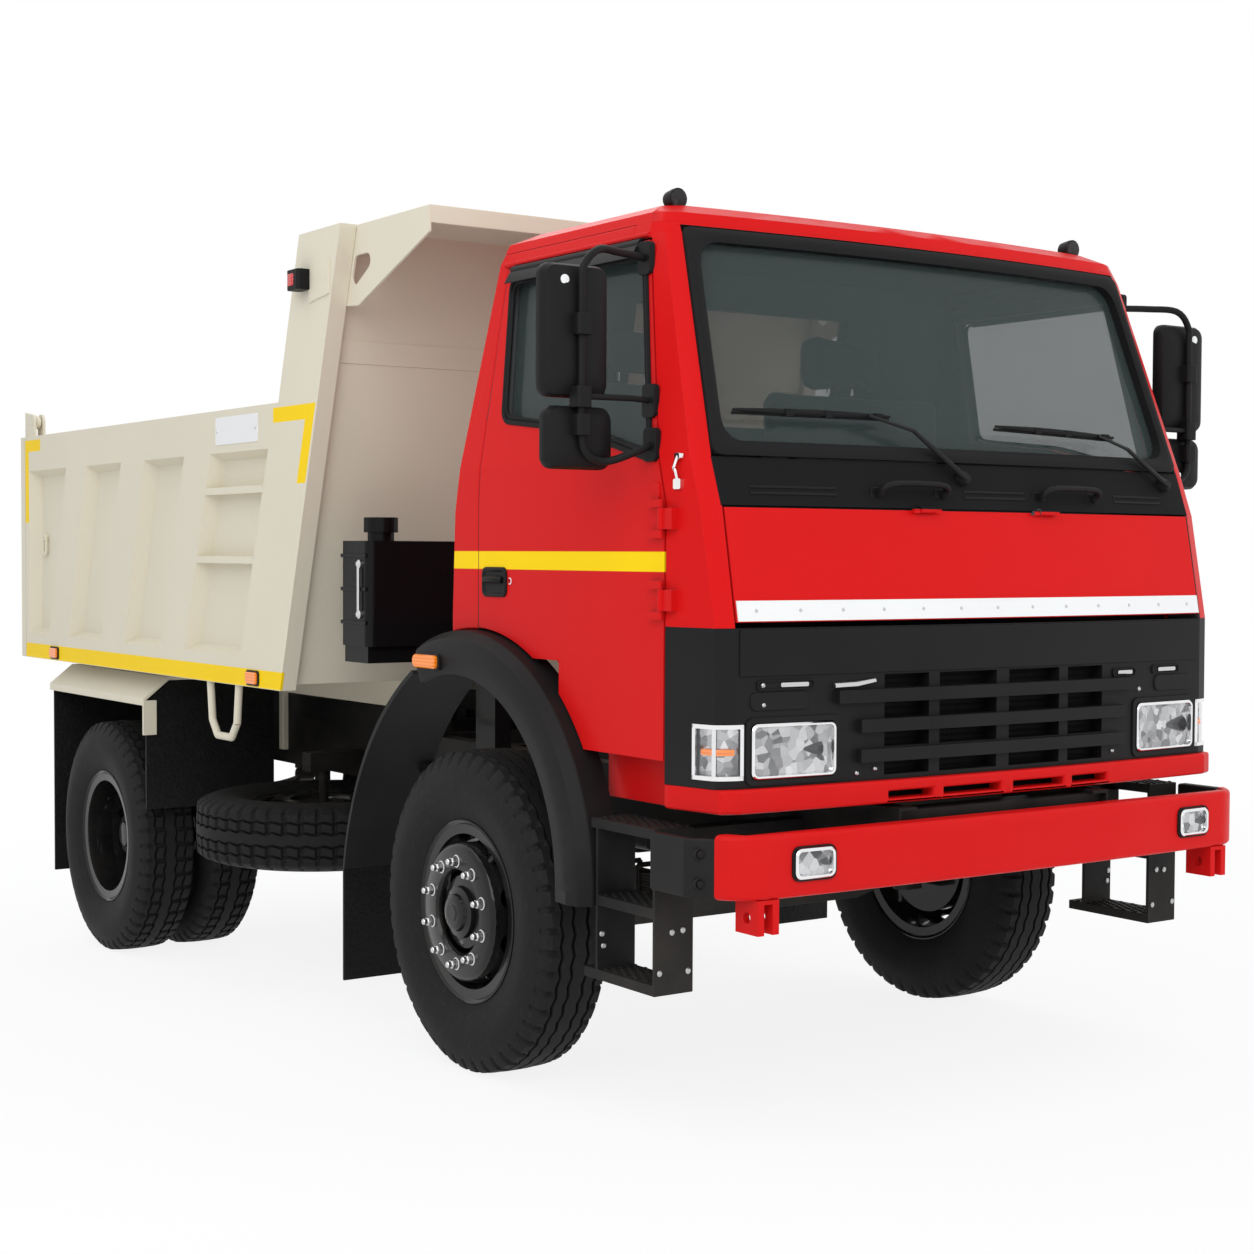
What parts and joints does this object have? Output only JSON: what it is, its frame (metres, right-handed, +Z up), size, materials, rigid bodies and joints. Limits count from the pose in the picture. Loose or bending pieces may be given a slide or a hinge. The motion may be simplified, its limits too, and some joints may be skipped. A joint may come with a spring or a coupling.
{
  "type": "dump truck",
  "caption": "Forward-control tipper truck with opening doors and front flap, steered front wheels, twin rear wheels, a hoist-raised bed and a swinging tailgate.",
  "frame": {"origin": "middle of the truck's box, on the ground", "axes": "+X to the vehicle's left, nose towards -Y, +Z up"},
  "size_m": [2.768, 5.6676, 2.8948],
  "materials": {
    "cab_red": "gloss",
    "bed_cream": "satin",
    "chassis_black": "satin",
    "trim_black": "matte",
    "rubber_black": "matte",
    "tyre": "matte",
    "wheel_black": "satin",
    "axle_iron": "rough",
    "hoist_steel": "polished",
    "hoist_paint": "satin",
    "glass": "clear",
    "lamp": "clear",
    "tail_lamp": "clear",
    "cab_trim": "grained",
    "seat_cloth": "woven",
    "tank": "gloss"
  },
  "bodies": {
    "truck": {"chassis_frame": "chassis_black", "subframe": "chassis_black", "front_axle": "axle_iron", "rear_axle": "axle_iron", "leaf_springs": "axle_iron", "drive_line": "axle_iron", "spare_tyre": "tyre", "spare_rim": "wheel_black", "fuel_tank": "tank", "oil_tank": "tank", "bumper": "cab_red", "bumper_caps": "trim_black", "cab_steps": "trim_black", "front_flares": "trim_black", "front_guards": "trim_black", "rear_guards": "bed_cream", "mud_flaps": "rubber_black", "tail_bar": "chassis_black", "tail_lamps": "tail_lamp", "cab_roof": "cab_red", "cab_front": "cab_red", "cab_sides": "cab_red", "cab_back": "cab_red", "fascia": "trim_black", "front_lamps": "lamp", "valance": "cab_red", "screen_seal": "rubber_black", "cab_glass": "glass", "cab_floor": "cab_trim", "dashboard": "cab_trim", "steering_wheel": "trim_black", "seats": "seat_cloth", "wipers": "trim_black"},
    "knuckle_right": {"knuckle_right": "axle_iron"},
    "knuckle_left": {"knuckle_left": "axle_iron"},
    "front_wheel_right": {"front_tyre_right": "tyre", "front_rim_right": "wheel_black"},
    "front_wheel_left": {"front_tyre_left": "tyre", "front_rim_left": "wheel_black"},
    "rear_wheels_right": {"rear_tyres_right": "tyre", "rear_rims_right": "wheel_black"},
    "rear_wheels_left": {"rear_tyres_left": "tyre", "rear_rims_left": "wheel_black"},
    "door_right": {"door_right": "cab_red", "door_glass_right": "glass", "mirror_right": "trim_black"},
    "door_left": {"door_left": "cab_red", "door_glass_left": "glass", "mirror_left": "trim_black"},
    "front_flap": {"front_flap": "cab_red"},
    "bed": {"bed_floor": "bed_cream", "bed_sides": "bed_cream", "bulkhead": "bed_cream"},
    "tailgate": {"tailgate": "bed_cream"},
    "hoist_barrel": {"hoist_barrel": "hoist_paint"},
    "hoist_stage_1": {"hoist_stage_1": "hoist_steel"},
    "hoist_stage_2": {"hoist_stage_2": "hoist_steel"},
    "hoist_rod": {"hoist_rod": "hoist_steel"}
  },
  "joints": [
    {"name": "steer_right", "type": "hinge", "parent": "truck", "child": "knuckle_right", "pos_m": [-0.82, -1.41336, 0.525], "axis": [0, -0.0419, 0.9991], "range_deg": [-35, 35]},
    {"name": "steer_left", "type": "hinge", "parent": "truck", "child": "knuckle_left", "pos_m": [0.82, -1.41336, 0.525], "axis": [0, -0.0419, 0.9991], "range_deg": [-35, 35]},
    {"name": "front_wheel_right_spin", "type": "hinge", "parent": "knuckle_right", "child": "front_wheel_right", "pos_m": [-0.99, -1.41336, 0.525], "axis": [1, 0, 0], "continuous": true},
    {"name": "front_wheel_left_spin", "type": "hinge", "parent": "knuckle_left", "child": "front_wheel_left", "pos_m": [0.99, -1.41336, 0.525], "axis": [1, 0, 0], "continuous": true},
    {"name": "rear_wheels_right_spin", "type": "hinge", "parent": "truck", "child": "rear_wheels_right", "pos_m": [-0.8375, 1.85664, 0.525], "axis": [1, 0, 0], "continuous": true},
    {"name": "rear_wheels_left_spin", "type": "hinge", "parent": "truck", "child": "rear_wheels_left", "pos_m": [0.8375, 1.85664, 0.525], "axis": [1, 0, 0], "continuous": true},
    {"name": "door_right_swing", "type": "hinge", "parent": "truck", "child": "door_right", "pos_m": [-1.073, -2.5086, 1.63011], "axis": [0, -0.0419, 0.9991], "range_deg": [0, 70]},
    {"name": "door_left_swing", "type": "hinge", "parent": "truck", "child": "door_left", "pos_m": [1.073, -2.5086, 1.63011], "axis": [0, 0.0419, -0.9991], "range_deg": [0, 70]},
    {"name": "front_flap_lift", "type": "hinge", "parent": "truck", "child": "front_flap", "pos_m": [0, -2.7197, 1.77139], "axis": [-1, 0, 0], "range_deg": [0, 70]},
    {"name": "bed_tip", "type": "hinge", "parent": "truck", "child": "bed", "pos_m": [0, 2.44314, 1.16706], "axis": [-1, 0, 0], "range_deg": [0, 50]},
    {"name": "tailgate_swing", "type": "hinge", "parent": "bed", "child": "tailgate", "pos_m": [0, 2.63785, 2.49137], "axis": [1, 0, 0], "range_deg": [0, 75]},
    {"name": "hoist_swing", "type": "hinge", "parent": "truck", "child": "hoist_barrel", "pos_m": [0, 1.12295, 0.66633], "axis": [-1, 0, 0], "range_deg": [0, 30.5]},
    {"name": "hoist_stage_1_slide", "type": "slide", "parent": "hoist_barrel", "child": "hoist_stage_1", "axis": [0, -0.2891, 0.9573], "range_m": [0, 0.385]},
    {"name": "hoist_stage_2_slide", "type": "slide", "parent": "hoist_stage_1", "child": "hoist_stage_2", "axis": [0, -0.2891, 0.9573], "range_m": [0, 0.385]},
    {"name": "hoist_rod_slide", "type": "slide", "parent": "hoist_stage_2", "child": "hoist_rod", "axis": [0, -0.2891, 0.9573], "range_m": [0, 0.385]}
  ],
  "couplings": [
    {"joint": "steer_left", "follows": "steer_right", "ratio": 1},
    {"joint": "hoist_swing", "follows": "bed_tip", "ratio": 0.6044},
    {"joint": "hoist_stage_1_slide", "follows": "bed_tip", "m_per_rad": 0.43734},
    {"joint": "hoist_stage_2_slide", "follows": "bed_tip", "m_per_rad": 0.43734},
    {"joint": "hoist_rod_slide", "follows": "bed_tip", "m_per_rad": 0.43734}
  ]
}
